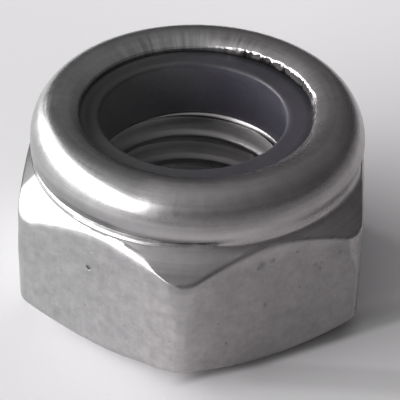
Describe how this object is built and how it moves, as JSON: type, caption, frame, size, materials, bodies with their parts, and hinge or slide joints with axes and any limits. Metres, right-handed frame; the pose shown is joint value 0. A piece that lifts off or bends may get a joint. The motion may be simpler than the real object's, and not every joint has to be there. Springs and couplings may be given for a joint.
{
  "type": "nylon insert lock nut",
  "caption": "Steel hexagon lock nut with a round rolled collar that holds a nylon locking ring above the thread.",
  "frame": {"origin": "centre of the bearing face, on the thread's axis", "axes": "+Z along the thread's axis, from the bearing face towards the nylon ring; +X square to one flat of the hexagon"},
  "size_m": [0.019, 0.0216, 0.0116],
  "materials": {
    "stainless_steel": "plain stainless steel, turned on the collar and drawn on the flats",
    "nylon": "dark blue-black nylon with a soft sheen"
  },
  "bodies": {
    "root": {"nut_body": "stainless_steel", "locking_insert": "nylon"}
  },
  "joints": []
}
